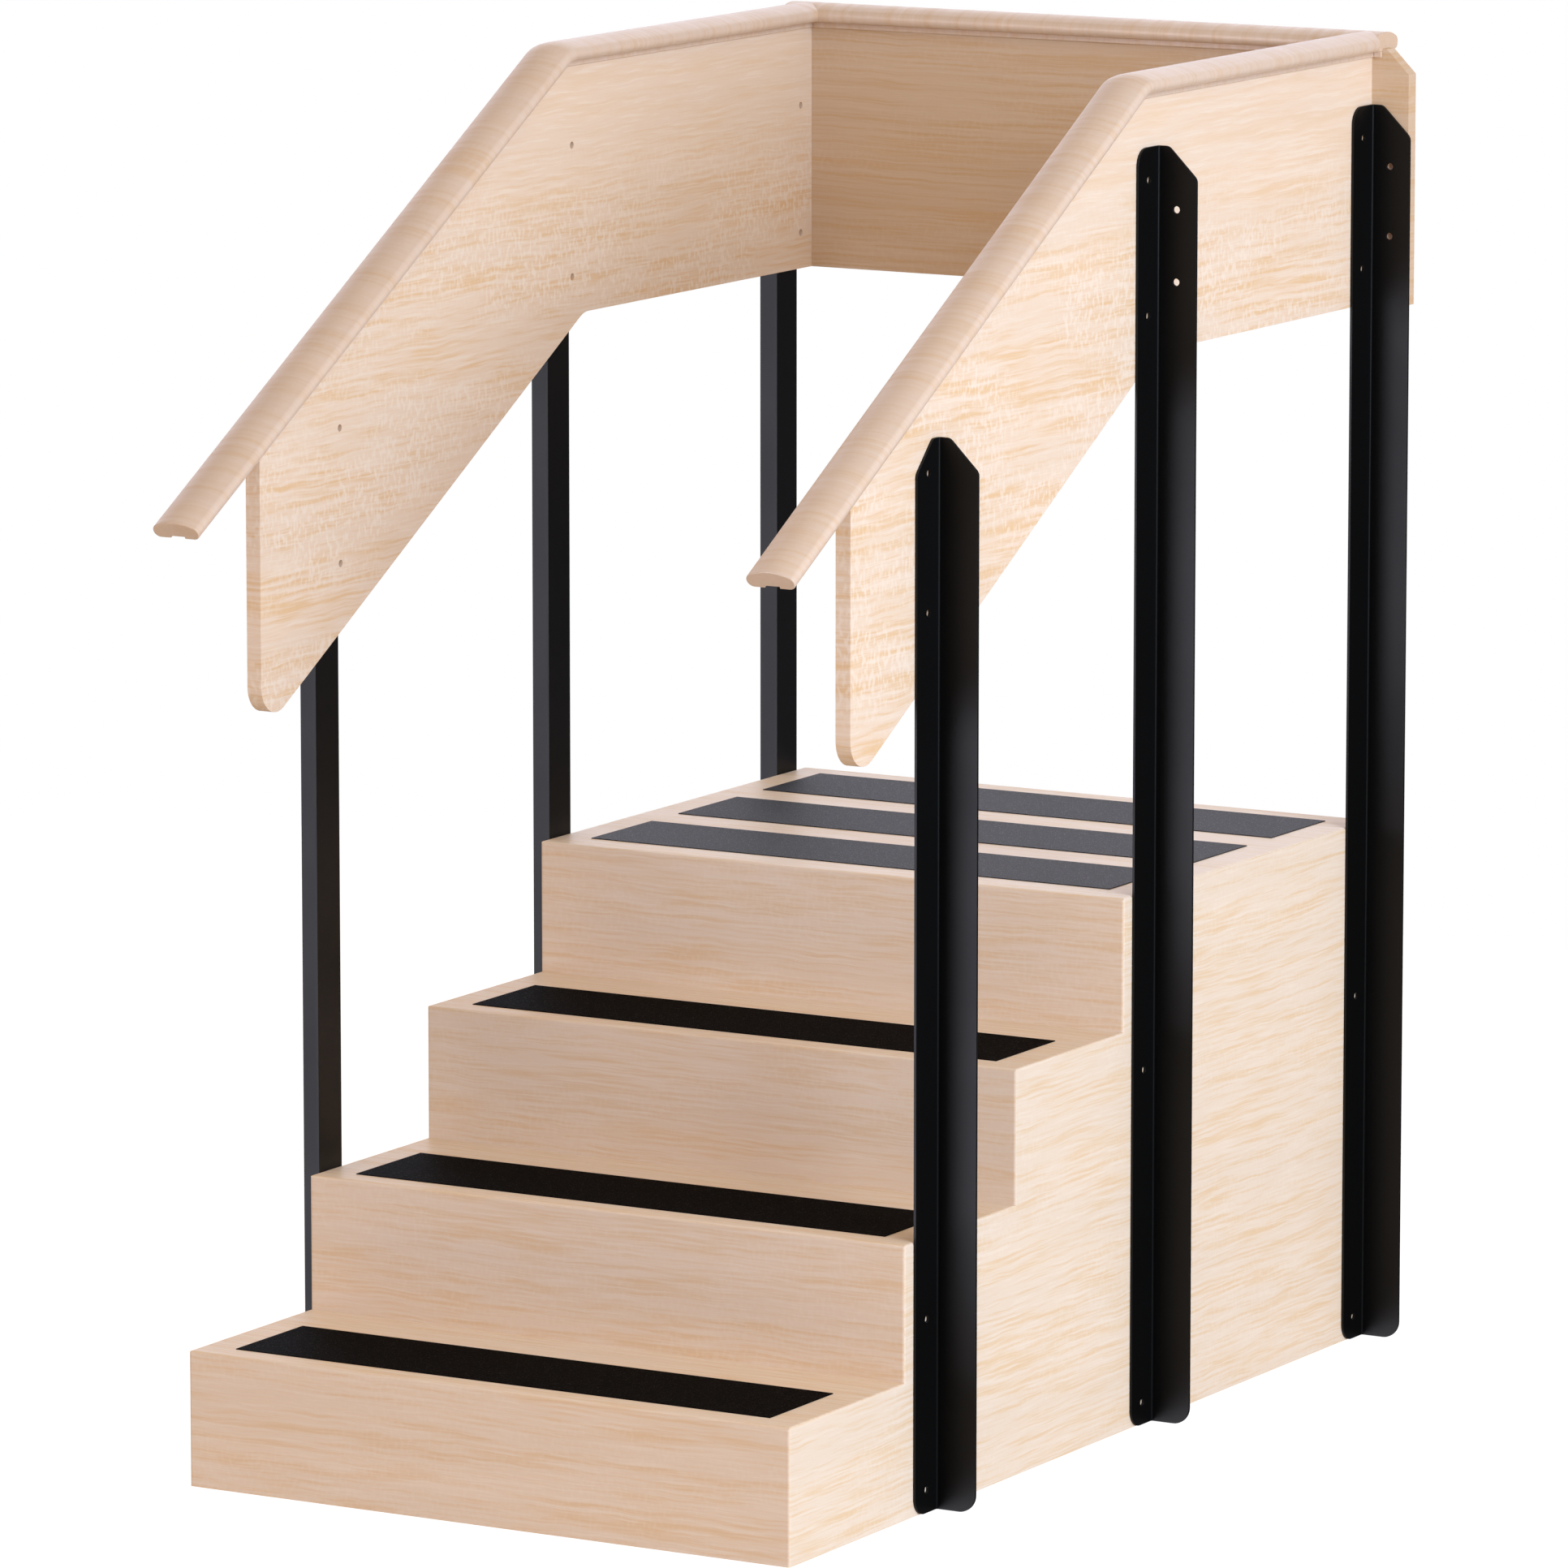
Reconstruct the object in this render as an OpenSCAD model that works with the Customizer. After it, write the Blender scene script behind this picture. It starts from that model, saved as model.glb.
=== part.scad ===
// Free-standing timber staircase with a platform, handrails and steel posts.
// X runs across the stair, Y from the first step to the back, Z up.
// The origin is on the floor, at the centre of the whole object's box.

/* [Steps and platform] */
// Width over the two cheeks
stair_w = 750; // [600:10:1100]
// Height of one step
rise = 150; // [110:1:190]
// Depth of one tread, from riser face to riser face
going = 245; // [210:1:320]
// Depth of the platform
platform_l = 600; // [500:10:1200]
// Thickness of the veneered boards
board_t = 18; // [12:1:30]
// Radius of the rounded edges of the box
arris_r = 3; // [0.5:0.5:6]

/* [Grip strips] */
// Bare timber left at each end of a strip
grip_side = 41; // [10:1:100]
// Depth of a strip, front to back
grip_d = 134; // [40:1:150]
// Thickness of the strip
grip_t = 1; // [0.5:0.1:3]
// Nosing to the strip on a tread
grip_inset = 30; // [5:1:60]
// Platform edge to its first strip
grip_front = 43; // [5:1:60]
// Platform's back edge to its last strip
grip_rear = 35; // [5:1:60]

/* [Posts] */
// Width of both flanges of the bent sheet posts
flange_w = 50; // [40:1:80]
// Thickness of the sheet
sheet_t = 3; // [2:0.5:6]
// Inside radius of the bend
bend_r = 2; // [1:0.5:5]
// Radius of the rounded free corners
corner_r = 20; // [5:1:22]
// Size of the cut corners
chamfer = 35; // [10:1:38]
// Radius that softens both ends of a cut corner
chamfer_r = 10; // [2:1:15]
// Back of a front or middle post behind the nosing that it passes
post_past = 69; // [55:1:120]
// Back of a rear post in front of the box's back face
post_rear = 15; // [0:1:40]
// Top of the tall posts above the platform
tall_over = 825; // [500:5:1000]
// How much closer to the handrail the front posts reach than the tall ones
short_extra = 18; // [0:1:60]

/* [Rail panels] */
// Thickness of the rail panels
panel_t = 18; // [12:1:30]
// Pitch of the sloping rails
pitch = 30; // [20:1:40]
// Lower edge of the level panels above the platform
panel_over = 598; // [300:1:800]
// Height of the level panels, up to the handrail
level_h = 288; // [200:1:400]
// Height of the sloping panels, square to the slope
slope_h = 275; // [200:1:400]
// Panel in front of the front post
panel_lead = 137; // [40:1:200]
// Radius of the lower front tip
tip_r = 30; // [5:1:60]
// Radius inside the lower knee
knee_r = 35; // [10:1:150]
// Cut corner of the back panel
back_chamfer = 28; // [5:1:40]
// Side of the back panel short of the flange's edge
back_inset = 3.5; // [0:0.5:10]

/* [Handrails] */
// Width of the handrail
rail_w = 58; // [40:1:80]
// Height of the handrail
rail_h = 21; // [18:1:40]
// Radius of its rounded edges
rail_r = 8; // [4:0.5:9]
// Depth of the slot that holds the panel
slot_d = 2.5; // [1:0.5:6]
// Radius of the bend at the knee, at the underside
rail_bend_r = 35; // [5:1:120]
// Handrail in front of the panel, along the slope
rail_lead = 170; // [20:1:250]
// Back handrail beyond the cheeks' outer faces
rail_past = 13; // [0:0.5:30]
// Thickness of the bead under the handrail
bead_t = 3; // [1:0.5:8]
// Height of the bead
bead_h = 7.5; // [3:0.5:15]

/* [Holes] */
// Holes through the posts and the rail panels
hole_d = 8; // [4:0.5:12]
// Holes in the cheeks behind the posts' lower holes
pilot_d = 5; // [3:0.5:12]
// Side hole line from the back of the post
hole_in = 25.5; // [15:0.5:35]
// Upper panel hole below the top of the post
hole_top = 36; // [20:1:60]
// Distance between the two panel holes
hole_gap = 149; // [40:1:180]
// Upper hole of the outward flange below the top of the post
out_top = 69.5; // [45:0.5:90]
// Distance between the two holes of the outward flange
out_gap = 79.5; // [20:0.5:150]
// Lowest hole above the floor
foot_hole_z = 25.5; // [22:0.5:60]
// Second hole of a front post below the tread beside it
short_hole = 87.5; // [20:0.5:110]
// Second hole of a tall post below the platform
tall_hole = 198.5; // [40:0.5:300]

/* [Hidden] */
$fn = 64;

STEPS = 4;         // rises up to the platform
POST_STEPS = 2;    // treads between a front post and the middle post
LEFT = -1;
RIGHT = 1;
over = 1;          // how far a cutter runs past what it cuts

half_w = stair_w / 2;
platform_h = STEPS * rise;
box_l = (STEPS - 1) * going + platform_l;

// Side view of the rails, measured from the front riser's face
heel_middle = (STEPS - 1) * going + post_past;
heel_front = heel_middle - POST_STEPS * going;
heel_rear = box_l - post_rear;
low_z = platform_h + panel_over;
panel_front = heel_front - flange_w - panel_lead;
under_z = low_z + level_h;
up = [-sin(pitch), cos(pitch)];      // square to the slope
along = [cos(pitch), sin(pitch)];    // up the slope
under_y = heel_middle + slope_h * up.x + (level_h - slope_h * cos(pitch)) / tan(pitch);
knee_cut = rail_bend_r * tan(pitch / 2);
knee = [under_y, under_z];
panel_run = (under_y - panel_front) / cos(pitch);
rail_run = panel_run + rail_lead;
rail_mid = heel_rear + panel_t / 2;
rail_x = half_w - panel_t / 2;
back_rail_l = stair_w + 2 * rail_past;

// The object's box: from the tip of the sloping handrails to the back handrail
tip_y = under_y - rail_run * cos(pitch) - rail_h * sin(pitch);
back_y = rail_mid + rail_w / 2;
front_y = -(tip_y + back_y) / 2;

tall_h = platform_h + tall_over;
short_h = tall_h - POST_STEPS * going * tan(pitch) + short_extra;

rail_half_flat = rail_w / 2 - rail_r;
crown_r = (pow(rail_half_flat, 2) + pow(rail_h - rail_r, 2) - pow(rail_r, 2))
    / (2 * (rail_h - 2 * rail_r));
grip_pitch = (platform_l - grip_front - grip_rear - grip_d) / 2;

veneer = [0.93, 0.84, 0.74];
veneer_dark = [0.86, 0.75, 0.65];
rail_wood = [0.85, 0.75, 0.66];
black = [0.09, 0.09, 0.1];
grit = [0.16, 0.16, 0.17];

// ---- Plane helpers ----

// A flat shape drawn as (y, z), made t thick from x
module side_plate(x, t) {
    translate([x, 0, 0]) rotate([90, 0, 90]) linear_extrude(t) children();
}

// A flat shape drawn as (x, z), made t thick from y towards the back
module cross_plate(y, t) {
    translate([0, y + t, 0]) rotate([90, 0, 0]) linear_extrude(t) children();
}

// Sliver between the corner at p, whose edges leave at angles a1 and a2, and the
// arc of radius r that rounds it: taken from an outer corner, added to an inner one
module corner_web(p, a1, a2, r) {
    half = abs(a2 - a1) / 2;
    mid = (a1 + a2) / 2;
    reach = r / tan(half);
    centre = p + r / sin(half) * [cos(mid), sin(mid)];
    difference() {
        polygon([
            p - over * [cos(mid), sin(mid)],
            p + reach * [cos(a1), sin(a1)],
            centre,
            p + reach * [cos(a2), sin(a2)]
        ]);
        translate(centre) circle(r);
    }
}

// Everything is drawn from the front riser's face, then moved to the object's centre
module place() {
    translate([0, front_y, 0]) children();
}

// What is drawn for the left side, mirrored for the right one
module on_side(side) {
    mirror([side == LEFT ? 0 : 1, 0, 0]) children();
}

// ---- Box of boards, mitred at every outer edge ----

// The solid box below tread k, back to the platform's end, with rounded outer edges
module stride_block(k) {
    y = (k - 1) * going;
    z = k * rise;
    deep = box_l - y;
    difference() {
        translate([-half_w, y, 0]) cube([stair_w, deep, z]);
        side_plate(-half_w - over, stair_w + 2 * over) {
            corner_web([y, z], -90, 0, arris_r);
            corner_web([box_l, z], 180, 270, arris_r);
        }
        cross_plate(y - over, deep + 2 * over) {
            corner_web([-half_w, z], -90, 0, arris_r);
            corner_web([half_w, z], 180, 270, arris_r);
        }
        translate([0, 0, -over]) linear_extrude(z + 2 * over) {
            corner_web([-half_w, y], 0, 90, arris_r);
            corner_web([half_w, y], 90, 180, arris_r);
            corner_web([-half_w, box_l], -90, 0, arris_r);
            corner_web([half_w, box_l], 180, 270, arris_r);
        }
    }
}

// One stride of the left cheek: a board whose front, top and back edges are mitred inwards
module cheek_stride(k) {
    y = (k - 1) * going;
    z = k * rise;
    x0 = -half_w;
    x1 = board_t - half_w;
    intersection() {
        stride_block(k);
        linear_extrude(z) polygon([
            [x0, y], [x1, y + board_t], [x1, box_l - board_t], [x0, box_l]
        ]);
        cross_plate(y, box_l - y) polygon([[x0, 0], [x1, 0], [x1, z - board_t], [x0, z]]);
    }
}

module cheek(side) {
    color(veneer) place() on_side(side) difference() {
        union() for (k = [1:STEPS]) cheek_stride(k);
        for (p = cheek_holes)
            translate([-half_w - over, p.x, p.y]) rotate([0, 90, 0])
                cylinder(d = pilot_d, h = board_t + 2 * over);
    }
}

// Front view of a board between the cheeks: full width outside, narrower inside
module mitred_ends(y, deep, z0, z1) {
    translate([0, 0, z0]) linear_extrude(z1 - z0) polygon([
        [-half_w, y], [half_w, y], [half_w - deep, y + deep], [-half_w + deep, y + deep]
    ]);
}

module riser(k) {
    y = (k - 1) * going;
    z0 = (k - 1) * rise;
    z1 = k * rise;
    color(veneer_dark) place() intersection() {
        stride_block(k);
        mitred_ends(y, board_t, z0, z1);
        side_plate(-half_w, stair_w) polygon([
            [y, z0], [y, z1], [y + board_t, z1 - board_t], [y + board_t, z0]
        ]);
    }
}

module tread(k) {
    y = (k - 1) * going;
    z = k * rise;
    next = y + going;
    inner = half_w - board_t;
    color(veneer) place() intersection() {
        stride_block(k);
        translate([0, 0, z - board_t]) linear_extrude(board_t) polygon([
            [-half_w, y], [half_w, y], [half_w, next], [inner, next + board_t],
            [-inner, next + board_t], [-half_w, next]
        ]);
        cross_plate(y, going + board_t) polygon([
            [-half_w, z], [half_w, z], [inner, z - board_t], [-inner, z - board_t]
        ]);
        side_plate(-half_w, stair_w) polygon([
            [y, z], [y + board_t, z - board_t], [next + board_t, z - board_t], [next + board_t, z]
        ]);
    }
}

module platform() {
    y = (STEPS - 1) * going;
    z = platform_h;
    inner = half_w - board_t;
    color(veneer) place() intersection() {
        stride_block(STEPS);
        cross_plate(y, platform_l) polygon([
            [-half_w, z], [half_w, z], [inner, z - board_t], [-inner, z - board_t]
        ]);
        side_plate(-half_w, stair_w) polygon([
            [y, z], [y + board_t, z - board_t], [box_l - board_t, z - board_t], [box_l, z]
        ]);
    }
}

module back_board() {
    z = platform_h;
    color(veneer_dark) place() intersection() {
        stride_block(STEPS);
        linear_extrude(z) polygon([
            [-half_w, box_l], [half_w, box_l],
            [half_w - board_t, box_l - board_t], [-half_w + board_t, box_l - board_t]
        ]);
        side_plate(-half_w, stair_w) polygon([
            [box_l - board_t, 0], [box_l, 0], [box_l, z], [box_l - board_t, z - board_t]
        ]);
    }
}

// ---- Grip strips ----

module grip(y, z) {
    color(grit) place() translate([-half_w + grip_side, y, z])
        cube([stair_w - 2 * grip_side, grip_d, grip_t]);
}

module tread_grip(k) {
    grip((k - 1) * going + grip_inset, k * rise);
}

// k counts from 0 at the front
module platform_grip(k) {
    grip((STEPS - 1) * going + grip_front + k * grip_pitch, platform_h);
}

// ---- Posts ----

// Plan of the bent sheet: the side flange runs forward from the heel at the
// origin and the other flange stands outward
module angle_section() {
    difference() {
        union() {
            translate([0, -flange_w]) square([sheet_t, flange_w]);
            translate([0, -sheet_t]) square([flange_w, sheet_t]);
            corner_web([sheet_t, -sheet_t], -90, 0, bend_r);
        }
        corner_web([0, 0], -90, 0, bend_r + sheet_t);
    }
}

// What is cut from a free top corner at p to leave it at 45 degrees, with soft ends
module chamfer_cut(p) {
    polygon([p + [over, over], p + [-chamfer - over, over], p + [-chamfer, 0],
        p + [0, -chamfer], p + [over, -chamfer - over]]);
    corner_web(p + [-chamfer, 0], 180, 315, chamfer_r);
    corner_web(p + [0, -chamfer], 135, 270, chamfer_r);
}

// A post of height h with its heel at the origin and its outward flange towards +X
module angle_post(h, short) {
    difference() {
        linear_extrude(h) angle_section();
        // Free corners of the side flange, which is turned over so that they face right
        translate([-over, 0, 0]) mirror([0, 1, 0]) side_plate(0, sheet_t + 2 * over) {
            corner_web([flange_w, 0], 90, 180, corner_r);
            if (short) chamfer_cut([flange_w, h]);
            else corner_web([flange_w, h], 180, 270, corner_r);
        }
        // Free corners of the outward flange
        cross_plate(-sheet_t - over, sheet_t + 2 * over) {
            corner_web([flange_w, 0], 90, 180, corner_r);
            chamfer_cut([flange_w, h]);
        }
    }
}

module side_hole(z, d) {
    translate([-over, -hole_in, z]) rotate([0, 90, 0]) cylinder(d = d, h = sheet_t + 2 * over);
}

module post(side, heel, h, short, second_hole_z) {
    color(black) place() on_side(-side) translate([half_w, heel, 0]) difference() {
        angle_post(h, short);
        for (z = panel_hole_heights(h)) side_hole(z, hole_d);
        for (z = [foot_hole_z, second_hole_z]) side_hole(z, hole_d);
        if (!short)
            for (z = out_hole_heights(h))
                translate([flange_w / 2, over, z]) rotate([90, 0, 0])
                    cylinder(d = hole_d, h = sheet_t + 2 * over);
    }
}

function panel_hole_heights(h) = [h - hole_top, h - hole_top - hole_gap];
function out_hole_heights(h) = [h - out_top, h - out_top - out_gap];

short_second_z = POST_STEPS * rise - short_hole;
tall_second_z = platform_h - tall_hole;

// Where the posts' upper holes go through a side panel, as (y, z)
panel_holes = [
    for (p = [[heel_front, short_h], [heel_middle, tall_h], [heel_rear, tall_h]])
        for (z = panel_hole_heights(p.y)) [p.x - hole_in, z]
];

// Where their lower holes go into a cheek
cheek_holes = [
    for (p = [[heel_front, short_second_z], [heel_middle, tall_second_z], [heel_rear, tall_second_z]])
        for (z = [foot_hole_z, p.y]) [p.x - hole_in, z]
];

module front_post(side) {
    post(side, heel_front, short_h, true, short_second_z);
}

module middle_post(side) {
    post(side, heel_middle, tall_h, false, tall_second_z);
}

module rear_post(side) {
    post(side, heel_rear, tall_h, false, tall_second_z);
}

// ---- Rail panels ----

// Point on the slope's lower edge, or dist above it square to the slope, at y
function slope_z(y, dist) = low_z + (y - heel_middle) * tan(pitch) + dist / cos(pitch);

// All that lies below the handrail's underside, or dist above it, between front and the
// rear posts; the knee is rounded about one centre whatever the distance
module below_rail(front, dist) {
    top = [knee.x - dist * tan(pitch / 2), under_z + dist];
    difference() {
        polygon([
            [front, 0], [heel_rear, 0], [heel_rear, top.y], top, [front, slope_z(front, slope_h + dist)]
        ]);
        corner_web(top, 180 + pitch, 360, rail_bend_r + dist);
    }
}

// All that lies below a side panel, and past both ends of it
module below_panel() {
    front = panel_front - over;
    rear = heel_rear + over;
    difference() {
        polygon([
            [front, -over], [rear, -over], [rear, low_z], [heel_middle, low_z], [front, slope_z(front, 0)]
        ]);
        corner_web([heel_middle, low_z], 180 + pitch, 360, knee_r);
    }
}

module side_panel_outline() {
    difference() {
        below_rail(panel_front, slot_d);
        below_panel();
        corner_web([panel_front, slope_z(panel_front, 0)], pitch, 90, tip_r);
        for (p = panel_holes) translate(p) circle(d = hole_d);
    }
}

module side_rail_panel(side) {
    color(veneer) place() on_side(side) side_plate(-half_w, panel_t) side_panel_outline();
}

module back_rail_panel() {
    w = half_w + flange_w - back_inset;
    top = under_z + slot_d;
    color(veneer_dark) place() cross_plate(heel_rear, panel_t) difference() {
        polygon([
            [-w, low_z], [w, low_z], [w, top - back_chamfer], [w - back_chamfer, top],
            [-w + back_chamfer, top], [-w, top - back_chamfer]
        ]);
        for (side = [LEFT, RIGHT], z = out_hole_heights(tall_h))
            translate([side * (half_w + flange_w / 2), z]) circle(d = hole_d);
    }
}

// ---- Handrails ----

// Section of the handrail, standing on its flat underside: one wide arc over two round edges
module rail_section(slot = true) {
    crown = [0, rail_h - crown_r];
    tangent = crown_r / (crown_r - rail_r) * ([rail_half_flat, rail_r] - crown);
    difference() {
        union() {
            intersection() {
                translate(crown) circle(crown_r, $fn = 180);
                polygon([crown, crown + 2 * tangent, crown + 2 * [-tangent.x, tangent.y]]);
                translate([-rail_w, 0]) square([2 * rail_w, 2 * rail_h]);
            }
            translate([-rail_half_flat, 0]) square([2 * rail_half_flat, rail_r]);
            for (side = [LEFT, RIGHT]) translate([side * rail_half_flat, rail_r]) circle(rail_r);
        }
        if (slot) translate([-panel_t / 2, -over]) square([panel_t, slot_d + over]);
    }
}

// Sweeps a section (x, height over the underside) down the slope from the knee's bend
module sweep_slope(run) {
    translate([0, knee.x - knee_cut * along.x, knee.y - knee_cut * along.y])
        rotate([pitch, 0, 0]) rotate([90, 0, 0]) linear_extrude(run - knee_cut) children();
}

// Sweeps it round the bend at the knee
module sweep_bend() {
    translate([0, knee.x + knee_cut, knee.y - rail_bend_r]) rotate(a = 180, v = [1, 0, 1])
        rotate_extrude(angle = pitch) translate([rail_bend_r, 0]) mirror([1, -1, 0]) children();
}

// Sweeps it back from the bend to y
module sweep_level(y) {
    translate([0, y, knee.y]) rotate([90, 0, 0]) linear_extrude(y - knee.x - knee_cut) children();
}

module slope_handrail(side) {
    color(rail_wood) place() translate([side * rail_x, 0, 0]) sweep_slope(rail_run) rail_section();
}

module back_rail_bar(length, slot) {
    translate([-length / 2, rail_mid, under_z]) rotate([90, 0, 90]) linear_extrude(length)
        rail_section(slot);
}

// The level rail starts with the knee's bend, and its end is cut to the back rail's shape
module level_handrail(side) {
    color(rail_wood) place() difference() {
        translate([side * rail_x, 0, 0]) {
            sweep_bend() rail_section();
            sweep_level(rail_mid) rail_section();
        }
        back_rail_bar(stair_w + 2 * rail_w, false);
    }
}

// Its underside is also cut out where the side panels' tops run in
module back_handrail() {
    color(rail_wood) place() difference() {
        back_rail_bar(back_rail_l, true);
        for (side = [LEFT, RIGHT])
            translate([side * rail_x - panel_t / 2, heel_rear - rail_w, under_z - over])
                cube([panel_t, rail_w, slot_d + over]);
    }
}

// ---- Beads ----

// Follows the underside on both faces of a side panel
module side_bead(side) {
    color(rail_wood) place()
        for (x = [-panel_t / 2 - bead_t, panel_t / 2])
            translate([side * rail_x, 0, 0]) side_plate(x, bead_t) difference() {
                below_rail(panel_front, 0);
                below_rail(panel_front, -bead_h);
            }
}

// Runs the rail's length behind the back panel, and between and outside the side beads in front
module back_bead() {
    side_beads = panel_t + 2 * bead_t;
    color(rail_wood) place() difference() {
        for (y = [heel_rear - bead_t, heel_rear + panel_t])
            translate([-back_rail_l / 2, y, under_z - bead_h]) cube([back_rail_l, bead_t, bead_h]);
        for (side = [LEFT, RIGHT])
            translate([side * rail_x - side_beads / 2, heel_rear - 2 * bead_t, under_z - 2 * bead_h])
                cube([side_beads, 2 * bead_t, 3 * bead_h]);
    }
}

cheek(LEFT);  // left_cheek
cheek(RIGHT);  // right_cheek
back_board();
riser(1);  // riser_1
riser(2);  // riser_2
riser(3);  // riser_3
riser(4);  // riser_4
tread(1);  // tread_1
tread(2);  // tread_2
tread(3);  // tread_3
platform();
tread_grip(1);  // tread_grip_1
tread_grip(2);  // tread_grip_2
tread_grip(3);  // tread_grip_3
platform_grip(0);  // platform_grip_front
platform_grip(1);  // platform_grip_middle
platform_grip(2);  // platform_grip_rear
front_post(LEFT);  // left_front_post
middle_post(LEFT);  // left_middle_post
rear_post(LEFT);  // left_rear_post
front_post(RIGHT);  // right_front_post
middle_post(RIGHT);  // right_middle_post
rear_post(RIGHT);  // right_rear_post
side_rail_panel(LEFT);  // left_rail_panel
side_rail_panel(RIGHT);  // right_rail_panel
back_rail_panel();
slope_handrail(LEFT);  // left_slope_handrail
level_handrail(LEFT);  // left_level_handrail
slope_handrail(RIGHT);  // right_slope_handrail
level_handrail(RIGHT);  // right_level_handrail
back_handrail();
side_bead(LEFT);  // left_bead
side_bead(RIGHT);  // right_bead
back_bead();
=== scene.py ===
# %% [markdown]
# # A timber training staircase, from frame to finished picture
# The stair is a hollow box of veneered boards with three treads, a platform, six bent steel posts and
# rounded handrails. Its measured parts come from a packed model, and Blender keeps their place and
# scale.
# What Blender adds here is how they look: softened edges, veneer, lacquer, powder coat and grit.

# %% Load the measured parts
import math

import bpy
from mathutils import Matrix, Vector


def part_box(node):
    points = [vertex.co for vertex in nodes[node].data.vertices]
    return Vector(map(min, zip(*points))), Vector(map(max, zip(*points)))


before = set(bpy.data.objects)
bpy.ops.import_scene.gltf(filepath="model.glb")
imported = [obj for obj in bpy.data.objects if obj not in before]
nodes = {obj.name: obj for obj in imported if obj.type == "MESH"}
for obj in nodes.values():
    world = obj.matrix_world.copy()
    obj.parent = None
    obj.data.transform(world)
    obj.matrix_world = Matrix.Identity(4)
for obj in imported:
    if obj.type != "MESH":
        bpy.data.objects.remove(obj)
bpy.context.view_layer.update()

# %% [markdown]
# ## The camera
# A long lens from far away keeps upright edges nearly parallel, which suits furniture. The camera is
# placed by two angles round a point on the stair, so each number says something a photographer would.

# %% Camera
AZIMUTH = math.radians(30.02)     # round to the right of the front
ELEVATION = math.radians(9.41)    # above the horizon
DISTANCE = 11.706                 # from the point that it looks at, in metres
LOOKS_AT = Vector((-0.0152, 0.0, 0.7057))
SENSOR = 36.0                     # width of the film, in millimetres
LENS = 242.18                     # focal length, in millimetres
FAR = 100.0                       # nothing further than this is drawn, in metres

camera = bpy.data.objects.new("camera", bpy.data.cameras.new("camera"))
camera.data.sensor_width = SENSOR
camera.data.lens = LENS
camera.data.clip_end = FAR
back = Vector((
    math.sin(AZIMUTH) * math.cos(ELEVATION),
    -math.cos(AZIMUTH) * math.cos(ELEVATION),
    math.sin(ELEVATION),
))
camera.location = LOOKS_AT + DISTANCE * back
camera.rotation_euler = (-back).to_track_quat("-Z", "Y").to_euler()
bpy.context.scene.collection.objects.link(camera)
bpy.context.scene.camera = camera
print("camera stands at", [round(v, 2) for v in camera.location])

# %% [markdown]
# ## Writing shaders as sums
# A shader is a web of small nodes. Built by hand it soon hides its own idea, so two small classes let
# Python say it instead. A Value is one socket that understands plus, minus and times, and each
# operator adds a Math node. A Finish owns the web and has one method that adds any other node.

# %% A socket that can be calculated with
class Value:
    """An output socket that can be calculated with, so that 1 - mask adds a Math node."""

    def __init__(self, finish, socket):
        self.finish = finish
        self.socket = socket

    def __getitem__(self, name):
        """Another output of the same node"""
        return Value(self.finish, self.socket.node.outputs[name])

    def __add__(self, other):
        return self.finish.math("ADD", self, other)

    def __sub__(self, other):
        return self.finish.math("SUBTRACT", self, other)

    def __rsub__(self, other):
        return self.finish.math("SUBTRACT", other, self)

    def __mul__(self, other):
        return self.finish.math("MULTIPLY", self, other)

    __radd__ = __add__
    __rmul__ = __mul__


print("operators that also work reversed:", [name for name in vars(Value) if name.startswith("__r")])

# %% [markdown]
# ## One method for every node
# The method called add takes a node's type, its settings and its sockets. The others are short names
# for the nodes that this scene uses most. The same class writes materials, the world and the geometry
# nodes further down, because all three are webs of nodes.

# %% A web of nodes
class Finish:
    """The nodes of one material, of the world, or of a geometry node group."""

    def __init__(self, owner):
        self.owner = owner
        if hasattr(owner, "use_nodes"):
            owner.use_nodes = True
        self.tree = getattr(owner, "node_tree", owner)
        self.tree.nodes.clear()

    def add(self, kind, settings=None, sockets=None):
        """Any node: its type, its settings, then values or links by socket name or number"""
        full_name = kind.startswith(("Geometry", "NodeGroup"))
        node = self.tree.nodes.new(kind if full_name else "ShaderNode" + kind)
        for name, value in (settings or {}).items():
            setattr(node, name, value)
        for name, value in (sockets or {}).items():
            if isinstance(name, int):
                socket = node.inputs[name]
            else:
                socket = next(s for s in node.inputs if s.enabled and s.name == name)
            if isinstance(value, Value):
                self.tree.links.new(value.socket, socket)
            elif socket.type == "RGBA" and len(value) == 3:
                socket.default_value = (*value, 1.0)
            else:
                socket.default_value = value
        shown = [s for s in node.outputs if s.enabled]
        return Value(self, shown[0]) if shown else node

    def math(self, operation, *values):
        return self.add("Math", {"operation": operation}, dict(enumerate(values)))

    def vector_math(self, operation, *values):
        return self.add("VectorMath", {"operation": operation}, dict(enumerate(values)))

    def blend(self, factor, a, b, mode="MIX"):
        """Two colours mixed, which a Math node would turn grey"""
        return self.add("Mix", {"data_type": "RGBA", "blend_type": mode},
                        {"Factor": factor, "A": a, "B": b})

    def ramp(self, value, low, high):
        """Rises smoothly from 0 at low to 1 at high"""
        return self.add("MapRange", {"interpolation_type": "SMOOTHSTEP"},
                        {"Value": value, "From Min": low, "From Max": high})

    def noise(self, place, scale, detail=2.0):
        return self.add("TexNoise", {"noise_dimensions": "3D"},
                        {"Vector": place, "Scale": scale, "Detail": detail})


print("short names:", [name for name in vars(Finish) if not name.startswith("_")])

# %% [markdown]
# ## The studio
# Pale wood and black steel want different light. Wood wants broad soft light that shows its colour,
# and steel wants something bright to mirror, or it turns into a black hole. So the world does three
# jobs. The camera sees it as plain white, matt surfaces get a warm and nearly even fill from it, and
# glossy ones see a dark room with two soft windows on the left. The window in front shows in the
# posts' flanges that face it, and the one behind gives the platform its sheen.

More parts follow.
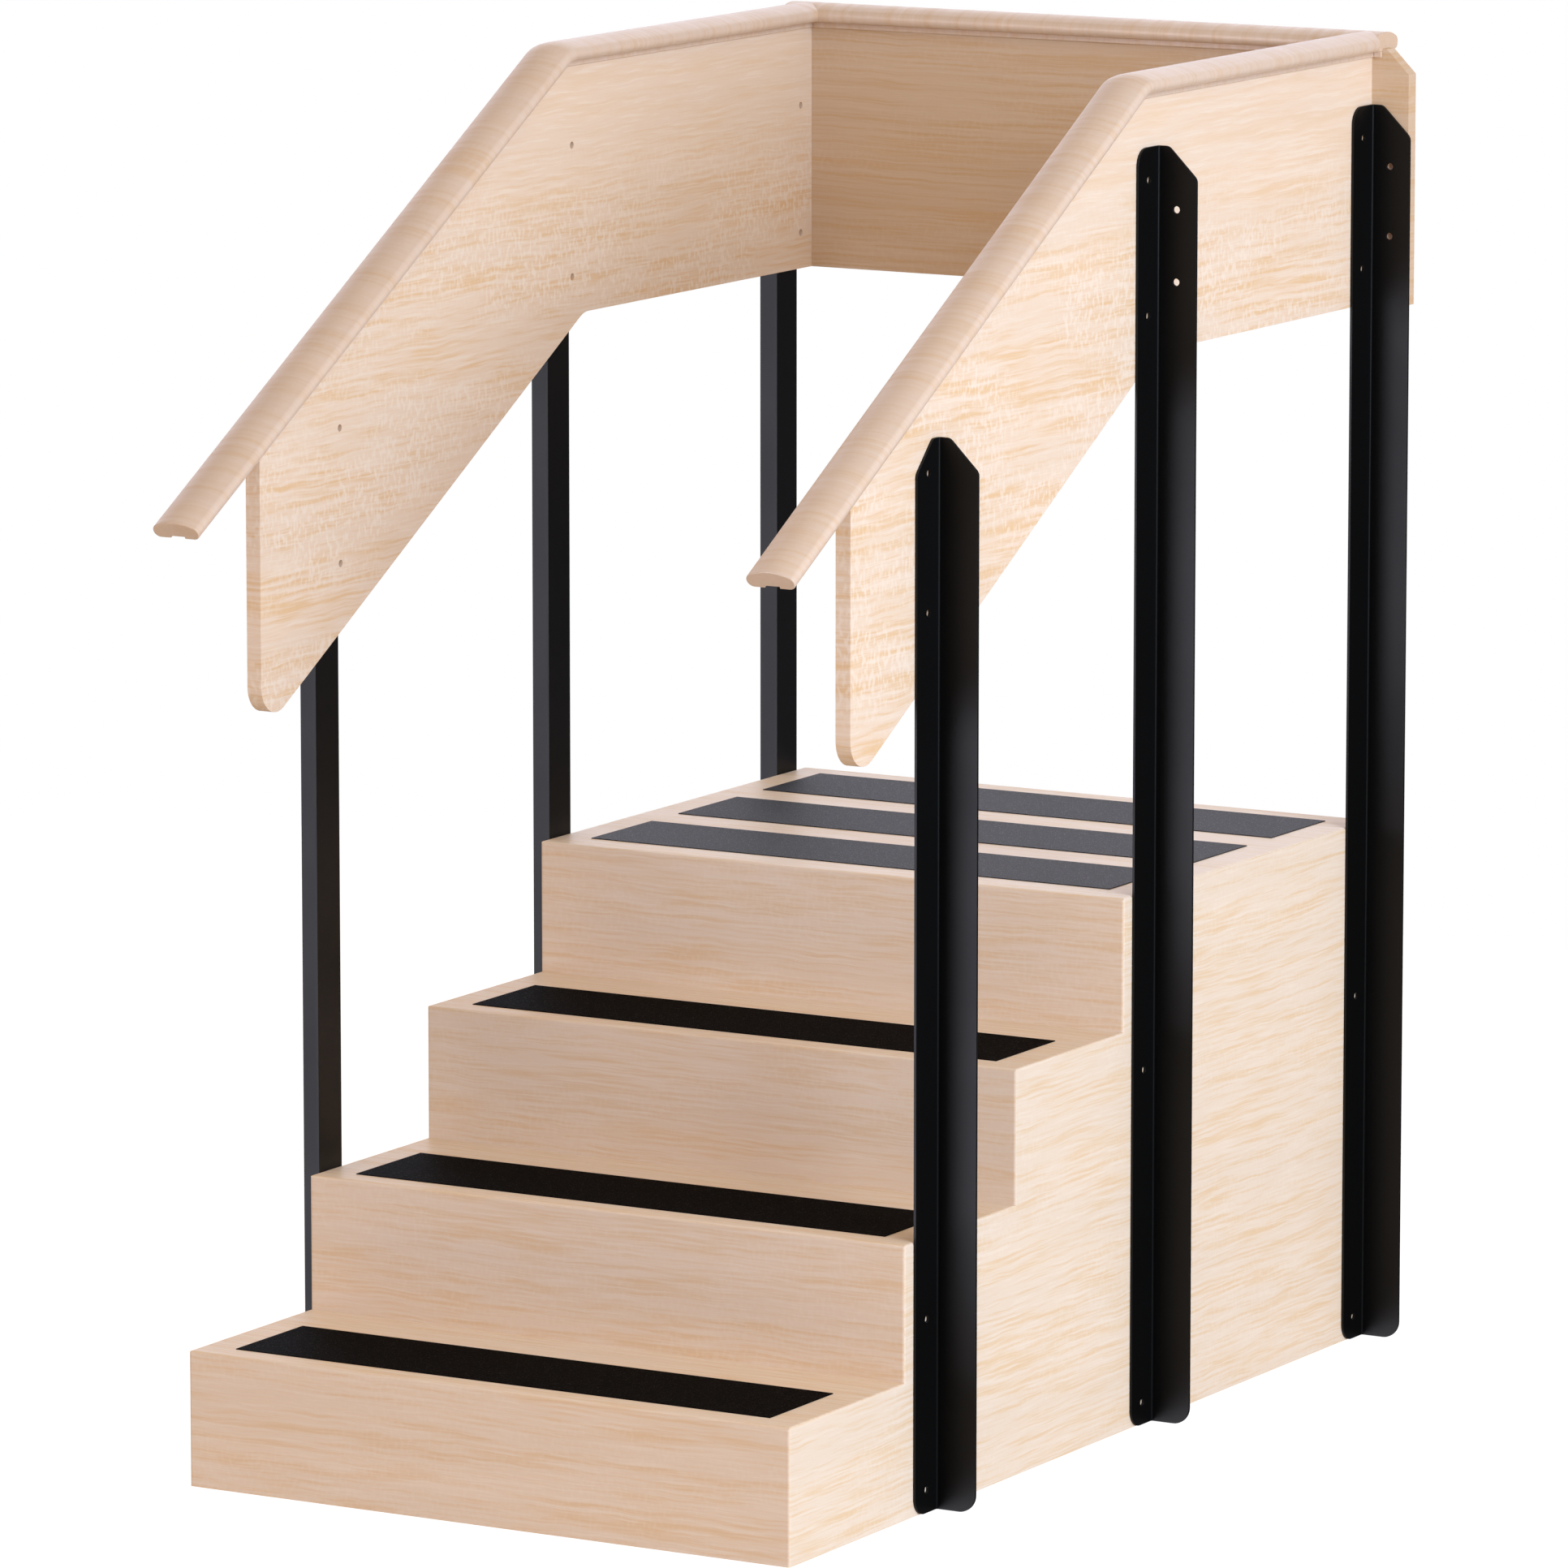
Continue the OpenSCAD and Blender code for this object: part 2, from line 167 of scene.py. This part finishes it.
# %% World
FILL_SIDE = 0.74                 # matt surfaces: light from round about,
FILL_TOP = 0.66                  # from overhead
FILL_LOW = 0.70                  # and from below
OVERHEAD = (0.05, 0.8)           # heights of a direction where overhead starts and is full
BELOW = (-0.05, -0.6)
SIDE_TINT = (1.0, 0.87, 0.92)
UPRIGHT_TINT = (1.0, 0.77, 0.50)  # from overhead and from below

WINDOW_FRONT = 4.8               # glossy surfaces: a window far to the left in front
FRONT_AT = (-0.52, -0.84, -0.12)
FRONT_EDGE = (0.86, 0.98)        # cosines where a window's soft edge starts and where it is full
WINDOW_BACK = 1.7                # and a paler one behind on the left
BACK_AT = (-0.49, 0.86, 0.14)
BACK_EDGE = (0.60, 0.95)
WINDOW_TINT = (0.96, 0.95, 1.08)
DARK = 0.02                      # everything else that gloss sees

world = bpy.data.worlds.new("studio")
bpy.context.scene.world = world
studio = Finish(world)
rays = studio.add("LightPath")
direction = studio.add("TexCoord")["Generated"]
upward = studio.add("SeparateXYZ", sockets={"Vector": direction})["Z"]


def window(towards, edge):
    """One where the direction points at a soft-edged round window, and 0 elsewhere"""
    return studio.ramp(studio.vector_math("DOT_PRODUCT", direction, towards), *edge)


front_window = window(FRONT_AT, FRONT_EDGE)
back_window = window(BACK_AT, BACK_EDGE)
mirrored = front_window * WINDOW_FRONT + back_window * WINDOW_BACK + DARK
overhead = studio.ramp(upward, *OVERHEAD)
below = studio.ramp(upward, *BELOW)
fill = FILL_SIDE + overhead * (FILL_TOP - FILL_SIDE) + below * (FILL_LOW - FILL_SIDE)
glossy = rays["Is Glossy Ray"]
seen = rays["Is Camera Ray"]
strength = seen + (1 - seen) * (glossy * mirrored + (1 - glossy) * fill)
warmth = studio.blend(overhead + below, SIDE_TINT, UPRIGHT_TINT)
tint = studio.blend(glossy, warmth, WINDOW_TINT)
tint = studio.blend(seen, tint, (1.0, 1.0, 1.0))
backdrop = studio.add("Background", sockets={"Color": tint, "Strength": strength})
studio.add("OutputWorld", sockets={"Surface": backdrop})
bpy.context.scene.view_settings.view_transform = "Standard"
print("world uses", len(studio.tree.nodes), "nodes")

# %% [markdown]
# ## The lamp
# One wide area lamp stands far to the right and a little in front. It makes the right faces the
# brightest and crosses the fronts at a slant, so each face of the box has its own shade.

# %% Lamp
KEY_PLACE = Vector((5.0, -1.9, 2.6))
KEY_AIM = Vector((0.0, 0.0, 0.8))
KEY_WIDTH = 3.0                  # metres
KEY_POWER = 218.0                # watts
KEY_COLOUR = (0.84, 1.0, 1.17)   # daylight, cooler than the fill

key = bpy.data.objects.new("key", bpy.data.lights.new("key", "AREA"))
key.data.shape = "SQUARE"
key.data.size = KEY_WIDTH
key.data.energy = KEY_POWER
key.data.color = KEY_COLOUR
key.location = KEY_PLACE
key.rotation_euler = (KEY_AIM - KEY_PLACE).to_track_quat("-Z", "Y").to_euler()
key.visible_camera = False
bpy.context.scene.collection.objects.link(key)
print("one lamp of", KEY_POWER, "W,", round((KEY_AIM - KEY_PLACE).length, 2), "m away")

# %% [markdown]
# ## The floor
# The floor is white paper that glows faintly, so it stays as pale as the room behind it. It is hidden
# from reflections and bounced light, because the world's low fill already stands for that light.

# %% Floor
FLOOR_HALF = 3.0
FLOOR_DROP = 0.0005              # just under the feet, so no two faces share a place
PAPER = (0.25, 0.25, 0.25)
PAPER_ROUGH = 0.9
PAPER_GLOW = 0.92

CORNERS = ((-1, -1), (1, -1), (1, 1), (-1, 1))
floor_mesh = bpy.data.meshes.new("studio_floor")
floor_mesh.from_pydata(
    [(x * FLOOR_HALF, y * FLOOR_HALF, -FLOOR_DROP) for x, y in CORNERS], [], [(0, 1, 2, 3)],
)
floor = bpy.data.objects.new("studio_floor", floor_mesh)
floor.visible_glossy = False
floor.visible_diffuse = False
bpy.context.scene.collection.objects.link(floor)
paper = Finish(bpy.data.materials.new("studio_paper"))
sheet = paper.add("BsdfPrincipled", sockets={
    "Base Color": PAPER, "Roughness": PAPER_ROUGH,
    "Emission Color": (1.0, 1.0, 1.0), "Emission Strength": PAPER_GLOW,
})
paper.add("OutputMaterial", sockets={"Surface": sheet})
floor_mesh.materials.append(paper.owner)
print("floor", 2 * FLOOR_HALF, "m wide")

# %% [markdown]
# ## What veneer is made of
# Light birch veneer is cream with short golden streaks that lie along the grain, thin brighter fibres
# between them and small flecks across it. A picture of wood would repeat and smear at the edges.
# Noise stretched along the grain gives the same look in solid space, so it wraps round an edge as
# real boards do. Each layer is one noise, told by how many features it has to a metre.

# %% Wood colours and layers
CREAM = (0.805, 0.658, 0.533)
GOLD = (0.755, 0.53, 0.315)
PALE = (0.86, 0.755, 0.655)

LAYERS = {
    # features to a metre along the grain and across it, and detail
    "slow": (4.0, 7.0, 1.0),         # lazy waves that the streaks follow
    "ripple": (24.0, 36.0, 1.0),     # small waves on top of them
    "fibre": (90.0, 2400.0, 1.0),    # single hairs
    "cloud": (2.5, 15.0, 2.0),       # broad light and dark
    "block": (230.0, 120.0, 0.0),    # flecks
    "where": (5.0, 12.0, 1.0),       # the patches that hold flecks
}
WAVE = 0.010                     # metres that the slow waves push the streaks aside,
RIPPLE = 0.005                   # and that the ripples do
THIN = (2.2, 2.6)                # thin streaks: how many times as many as the main ones
BAND = (0.4, 0.3)                # bands that gather the streaks
GOLD_EDGE = (0.38, 0.82)         # noise values where a colour starts and where it is full
PALE_EDGE = (0.46, 0.30)
FLECK_EDGE = (0.44, 0.74)
PATCH_EDGE = (0.32, 0.58)
PALE_PART = 0.45                 # the most of each colour that goes on
FLECK_PART = 0.7
SATIN = 0.43                     # roughness of the lacquer
MIDDLE = 0.5                     # of a noise, so a layer lightens as much as it darkens
print(len(LAYERS), "layers:", ", ".join(LAYERS))

# %% [markdown]
# ## Places along the grain
# A board's grain may run along any axis. Its coordinates are put in the order grain, across the face,
# through the board, and from then on one pattern serves every board.

# %% Places along the grain
def object_axes(finish):
    """The object's own x, y and z, in metres"""
    place = finish.add("SeparateXYZ", sockets={"Vector": finish.add("TexCoord")["Object"]})
    return {axis: place[axis] for axis in "XYZ"}


def grain_space(finish, order, offset):
    """Places in the order grain, across the face, through the board"""
    place = object_axes(finish)
    return [place[axis] + shift for axis, shift in zip(order, offset)]


def stretched(finish, axes, along, across):
    """A place squeezed along the grain and through the board, so noise stretches that way"""
    a, b, c = axes
    return finish.add("CombineXYZ", sockets={"X": a * along, "Y": b * across, "Z": c * along})


def tinted(colour, tone):
    return tuple(c * t for c, t in zip(colour, tone))


print("gold as a part of cream:", [round(g / c, 2) for g, c in zip(GOLD, CREAM)])

# %% [markdown]
# ## The wood itself
# Waves bend the streaks first. Then gold goes on where the streak noises are high, a pale tone where
# they are low, and flecks in patches. Where calm is 1, the gold is faint and no flecks are left. The
# same noises drive the roughness and the height, so what looks like a fibre also feels like one.

# %% Wood
def wood(finish, axes, fleck=1.0, gold_part=0.8, length=11.0, across=300.0,
         tone=(1.0, 1.0, 1.0), calm=0.0):
    """Colour, roughness and height of veneer at a place: along, across and through"""

    def layer(place, along, side, detail):
        return finish.noise(stretched(finish, place, along, side), 1.0, detail)

    grain, side, through = axes
    slow = layer(axes, *LAYERS["slow"])
    ripple = layer(axes, *LAYERS["ripple"])
    sway = (slow - MIDDLE) * WAVE + (ripple - MIDDLE) * RIPPLE
    bent = [grain, side + sway, through]
    streak = layer(bent, length, across, 2.0)
    thin = layer(bent, THIN[0] * length, THIN[1] * across, 1.0)
    band = layer(bent, BAND[0] * length, BAND[1] * across, 1.0)
    fibre = layer(bent, *LAYERS["fibre"])
    cloud = layer(axes, *LAYERS["cloud"])
    block = layer(axes, *LAYERS["block"])
    where = layer(axes, *LAYERS["where"])

    # How much each noise counts is given by the weights below
    field = streak + (band - MIDDLE) * 0.6 + (thin - MIDDLE) * 0.4 + (cloud - MIDDLE) * 0.3
    gold = finish.ramp(field, *GOLD_EDGE) * (1 - 0.6 * calm)
    pale = finish.ramp(streak - (thin - MIDDLE) * 0.5, *PALE_EDGE)
    flecks = finish.ramp(block, *FLECK_EDGE) * finish.ramp(where, *PATCH_EDGE) * fleck * (1 - calm)
    colour = finish.blend(gold * gold_part, tinted(CREAM, tone), tinted(GOLD, tone))
    colour = finish.blend(pale * PALE_PART * gold_part, colour, tinted(PALE, tone))
    colour = finish.blend(flecks * FLECK_PART, colour, tinted(PALE, tone))
    shade = 1 + (fibre - MIDDLE) * 0.08 + (cloud - MIDDLE) * 0.10
    grey = finish.add("CombineColor", sockets={"Red": shade, "Green": shade, "Blue": shade})
    colour = finish.blend(1.0, colour, grey, "MULTIPLY")
    rough = SATIN + gold * 0.07 - pale * 0.04 + (fibre - MIDDLE) * 0.08
    height = fibre * 0.5 + thin * 0.3 - gold * 0.4
    return colour, rough, height


def close(finish, colour, rough, height, depth, **constants):
    """The shader of a surface, with a bump of the given depth in metres"""
    bump = finish.add("Bump", sockets={"Strength": 1.0, "Distance": depth, "Height": height})
    sockets = {"Base Color": colour, "Roughness": rough, "Normal": bump}
    sockets.update({name.replace("_", " "): value for name, value in constants.items()})
    surface = finish.add("BsdfPrincipled", sockets=sockets)
    finish.add("OutputMaterial", sockets={"Surface": surface})
    return finish.owner


print("wood mixes", len(LAYERS) + 3, "noises into", len((CREAM, GOLD, PALE)), "colours")

# %% [markdown]
# ## Boards get their veneer
# The letters say which way each board's grain runs, lies across and goes through. Each board shifts
# the noise by its own amount, so no two match. The cheeks are a little paler. The platform is paler
# and glossier, and its paler tone is painted sheen from the window behind. The back rail panel is
# browner, and its browner tone is painted shade of the corner that the side panels close in. On the
# side panels the pattern goes quiet towards the top.

# %% Boards get their veneer
FADE = 0.16                              # height over which a pattern goes quiet
SHIFT = Vector((0.37, 0.83, 0.59))       # how far the noise moves from one board to the next
VENEER_BUMP = 0.00006
BOARDS = {
    "left_cheek": "YZX", "right_cheek": "YZX", "back_board": "XZY",
    "riser_1": "XZY", "riser_2": "XZY", "riser_3": "XZY", "riser_4": "XZY",
    "tread_1": "XYZ", "tread_2": "XYZ", "tread_3": "XYZ", "platform": "XYZ",
    "left_rail_panel": "YZX", "right_rail_panel": "YZX", "back_rail_panel": "XZY",
}
BOX_LOOK = {"fleck": 0.25, "gold_part": 0.68}
CHEEK_LOOK = {"fleck": 0.25, "gold_part": 0.78, "tone": (1.03, 1.09, 1.13)}
# the platform's pale bluish tone is painted sheen from the window behind; its shine is real gloss
PLATFORM_LOOK_WITH_PAINTED_SHEEN = {"fleck": 0.25, "gold_part": 0.68, "shine": 0.7, "tone": (1.08, 1.14, 1.22)}
PANEL_LOOK = {"fleck": 1.0, "gold_part": 0.95, "across": 240.0, "quiet_above": 1.26}
# the back rail panel's browner tone is painted shade of the corner that the side panels close in
BACK_LOOK_WITH_PAINTED_SHADE = {"fleck": 0.3, "gold_part": 0.7, "length": 7.0, "tone": (0.81, 0.75, 0.67)}
LOOKS = {
    "left_cheek": CHEEK_LOOK, "right_cheek": CHEEK_LOOK, "platform": PLATFORM_LOOK_WITH_PAINTED_SHEEN,
    "left_rail_panel": PANEL_LOOK, "right_rail_panel": PANEL_LOOK, "back_rail_panel": BACK_LOOK_WITH_PAINTED_SHADE,
}


def veneer(name, order, offset, shine=0.15, quiet_above=None, **look):
    """Veneer for one board, whose pattern may fade above a height in metres"""
    finish = Finish(bpy.data.materials.new(name))
    if quiet_above:
        level = object_axes(finish)["Z"]
        look = look | {"calm": finish.ramp(level, quiet_above, quiet_above + FADE)}
    colour, rough, height = wood(finish, grain_space(finish, order, offset), **look)
    return close(finish, colour, rough, height, VENEER_BUMP, Specular_IOR_Level=shine)


def wear(node, material):
    """Gives a measured part its material on the object, and leaves its mesh alone"""
    for slot in nodes[node].material_slots:
        slot.link = "OBJECT"
        slot.material = material


for number, (board, order) in enumerate(BOARDS.items()):
    look = LOOKS.get(board, BOX_LOOK)
    wear(board, veneer("veneer_" + board, order, SHIFT * (number + 1), **look))
print(len(BOARDS), "boards veneered")

# %% [markdown]
# ## Handrails
# The handrails show short lines that lie across them and follow the crown. So their noise is
# stretched across the rail instead of along it, and it has to turn with the rail at the knee. The
# distance along the rail is the sum of three parts: how far down the slope, how far round the bend,
# and how far back on the level. Then the lines fan out round the bend unbroken.

# %% The way along a rail
PITCH = math.radians(30.0)
BEND_R = 0.035                   # of the knee, at the rail's underside
RAIL_H = 0.021
knee_low, knee_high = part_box("right_level_handrail")
BEND_Y = knee_low.y + (BEND_R + RAIL_H) * math.sin(PITCH)
BEND_Z = knee_high.z - RAIL_H - BEND_R


def run_of_rail(finish, sideways):
    """Places on a rail: across it, along its run, and outwards from its underside"""
    x, y, z = object_axes(finish).values()
    if sideways:
        return y, x, z
    y, z = y - BEND_Y, z - BEND_Z
    down_slope = finish.math("MINIMUM", y * math.cos(PITCH) + z * math.sin(PITCH), 0.0)
    level = finish.math("MAXIMUM", y, 0.0)
    turn = finish.math("ARCTAN2", 0 - y, z)
    turn = finish.math("MINIMUM", finish.math("MAXIMUM", turn, 0.0), PITCH)
    outwards = finish.math("MAXIMUM", z, z * math.cos(PITCH) - y * math.sin(PITCH))
    return x, level + down_slope - turn * (BEND_R + RAIL_H / 2), outwards


print("bend centre at", round(BEND_Y, 4), round(BEND_Z, 4))

# %% [markdown]
# ## Handrail lacquer
# The rails wear a thin clear coat over the wood, which gives hands something smooth to slide on and
# draws a soft light line along the crown. A rail and its bead share one material, so the lines run on
# from one to the other.

# %% Handrail wood
RAIL_LOOK = {"fleck": 0.2, "gold_part": 0.5, "length": 7.0, "across": 150.0,
             "tone": (0.90, 0.875, 0.885)}
RAIL_BUMP = 0.00003
AFTER_BOARDS = 20                # the rails' shifts start well past the boards'
RAILS = {
    "lacquer_left": ("left_slope_handrail", "left_level_handrail", "left_bead"),
    "lacquer_right": ("right_slope_handrail", "right_level_handrail", "right_bead"),
    "lacquer_back": ("back_handrail", "back_bead"),
}


def handrail(name, sideways, offset):
    """Wood whose lines lie across a rail"""
    finish = Finish(bpy.data.materials.new(name))
    axes = [axis + shift for axis, shift in zip(run_of_rail(finish, sideways), offset)]
    colour, rough, height = wood(finish, axes, **RAIL_LOOK)
    return close(finish, colour, rough, height, RAIL_BUMP,
                 Coat_Weight=0.3, Coat_Roughness=0.22, Specular_IOR_Level=0.5)


for number, (name, rails) in enumerate(RAILS.items()):
    lacquer = handrail(name, name == "lacquer_back", SHIFT * (number + AFTER_BOARDS))
    for rail in rails:
        wear(rail, lacquer)
print(sum(map(len, RAILS.values())), "rails and beads lacquered")

# %% [markdown]
# ## Powder coat
# Powder coat is plastic baked on steel: black, satin and very slightly pebbled. The pebbling is a
# fine noise used as bump, and a broader noise varies the sheen from place to place.

# %% Powder coat
COAT_DARK = (0.0018, 0.0015, 0.0014)
COAT_LIGHT = (0.0032, 0.0028, 0.0027)
PEBBLES = 950.0                  # to a metre
PATCHES = 9.0
COAT_ROUGH = 0.48
COAT_BUMP = 0.00004


def powder_coat(name):
    finish = Finish(bpy.data.materials.new(name))
    place = finish.add("TexCoord")["Object"]
    pebble = finish.noise(place, PEBBLES)
    patch = finish.noise(place, PATCHES)
    colour = finish.blend(finish.ramp(pebble, 0.35, 0.7), COAT_DARK, COAT_LIGHT)
    rough = COAT_ROUGH + (patch - MIDDLE) * 0.08 + (pebble - MIDDLE) * 0.10
    return close(finish, colour, rough, pebble, COAT_BUMP, Specular_IOR_Level=0.3)


coat = powder_coat("powder_coat")
POSTS = [name for name in nodes if name.endswith("_post")]
for post in POSTS:
    wear(post, coat)
print(len(POSTS), "posts coated")

# %% [markdown]
# ## Grit
# The strips are mineral grit on tape. Cells make the grains, which stand up as bump, and a second
# noise lets the highest specks sparkle. The platform's strips are given more gloss than the treads'
# ones, so they catch the window behind them while the treads stay black.

# %% Grit strips
TAPE = (0.0034, 0.0027, 0.0023)
SPARKLE = (0.020, 0.020, 0.023)
GRAINS = 450.0                   # to a metre
SPECKS = 700.0
GRIT_ROUGH = 0.62
GRIT_BUMP = 0.0003


def grit_tape(name, shine):
    finish = Finish(bpy.data.materials.new(name))
    place = finish.add("TexCoord")["Object"]
    grain = finish.add("TexVoronoi", {"feature": "F1"}, {"Vector": place, "Scale": GRAINS})
    speck = finish.noise(place, SPECKS, detail=1.0)
    sparkle = finish.ramp(speck, 0.60, 0.75)
    colour = finish.blend(sparkle, TAPE, SPARKLE)
    rough = GRIT_ROUGH - sparkle * 0.25
    height = grain["Distance"] + speck * 0.5
    return close(finish, colour, rough, height, GRIT_BUMP, Specular_IOR_Level=shine)


TAPES = {"platform": grit_tape("grit_platform", 0.35), "tread": grit_tape("grit_tread", 0.006)}
GRIPS = [name for name in nodes if "grip" in name]
for grip in GRIPS:
    wear(grip, TAPES[grip.split("_")[0]])
print(len(GRIPS), "strips laid")

# %% [markdown]
# ## Choosing edges to soften
# No real edge is perfectly sharp: boards are sanded and coated sheet has a rounded rim, and that is
# where light catches. Geometry nodes choose the edges. Before the bevel they give each edge sharper
# than 40 degrees a weight, if it also lies beyond a given distance in a given direction. After it
# they mark what is still sharp, so the shading breaks there.

# %% Edge groups
SHARP = math.radians(40.0)


def edge_group(name, finishing, towards=(0.0, 0.0, 0.0), beyond=-1.0):
    """Marks sharp edges: before the bevel as its weight, after it as a crease in the shading"""
    group = bpy.data.node_groups.new(name, "GeometryNodeTree")
    for direction in ("INPUT", "OUTPUT"):
        group.interface.new_socket("Geometry", in_out=direction, socket_type="NodeSocketGeometry")
    web = Finish(group)
    shape = web.add("NodeGroupInput")
    angle = web.add("GeometryNodeInputMeshEdgeAngle")
    sharp = web.math("GREATER_THAN", angle, SHARP)
    if finishing:
        name_of, kind = "sharp_edge", "BOOLEAN"
    else:
        name_of, kind = "bevel_weight_edge", "FLOAT"
        shape = web.add("GeometryNodeRemoveAttribute", {},
                        {"Geometry": shape, "Name": "custom_normal"})
        place = web.vector_math("DOT_PRODUCT", web.add("GeometryNodeInputPosition"), towards)
        sharp = sharp * web.math("GREATER_THAN", place, beyond)
    marked = web.add("GeometryNodeStoreNamedAttribute", {"data_type": kind, "domain": "EDGE"},
                     {"Geometry": shape, "Name": name_of, "Value": sharp})
    web.add("NodeGroupOutput", {}, {"Geometry": marked})
    return group


ALL_EDGES = edge_group("weigh_all", False)
CREASES = edge_group("crease", True)
print("edge groups:", ALL_EDGES.name, CREASES.name)

# %% [markdown]
# ## Softening without touching the mesh
# Modifiers leave the measured mesh as it is. The weld joins its split corners, the dissolve clears the
# triangles' extra edges so the bevel has clean faces to work on, and the weighted normals after the
# bevel keep large faces evenly shaded.

# %% Bevels
JOIN = 0.00001                   # corners closer than this are one, in metres
FLAT = math.radians(0.5)         # faces that turn less than this are one
STEPS = 3                        # faces across each rounding
SOFT = {"rail_panel": 0.0018, "post": 0.0005, "bead": 0.0014, "grip": 0.0003}


def soften(part, width, weights=ALL_EDGES):
    """Weld, clear, weigh the edges, round them, then crease what is still sharp"""
    part.modifiers.new("join", "WELD").merge_threshold = JOIN
    clear = part.modifiers.new("clear", "DECIMATE")
    clear.decimate_type = "DISSOLVE"
    clear.angle_limit = FLAT
    part.modifiers.new("weigh", "NODES").node_group = weights
    bevel = part.modifiers.new("round", "BEVEL")
    bevel.width = width
    bevel.segments = STEPS
    bevel.limit_method = "WEIGHT"
    part.modifiers.new("crease", "NODES").node_group = CREASES
    part.modifiers.new("even", "WEIGHTED_NORMAL").keep_sharp = True


for name, part in nodes.items():
    for kind, width in SOFT.items():
        if kind in name:
            soften(part, width)
print(sum(1 for part in nodes.values() if part.modifiers), "parts softened")

# %% [markdown]
# ## The rails' free ends
# A sloping rail ends in the open, where a hand meets it first, so only that end is rounded. Its edges
# are the ones that lie furthest down the slope.

# %% Free ends
END_ROUND = 0.003
END_ZONE = 0.03                  # how far up from the tip the rounding looks for edges
slope_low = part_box("right_slope_handrail")[0]
down = Vector((0.0, -math.cos(PITCH), -math.sin(PITCH)))
tip = down.dot(Vector((0.0, slope_low.y, slope_low.z + RAIL_H)))
FREE_END = edge_group("weigh_free_end", False, down, tip - END_ZONE)
for name in ("left_slope_handrail", "right_slope_handrail"):
    soften(nodes[name], END_ROUND, FREE_END)
print("free ends rounded", 1000 * END_ROUND, "mm")

# %% [markdown]
# ## Size and finish
# The looks do not make the stair bigger than its measured parts.
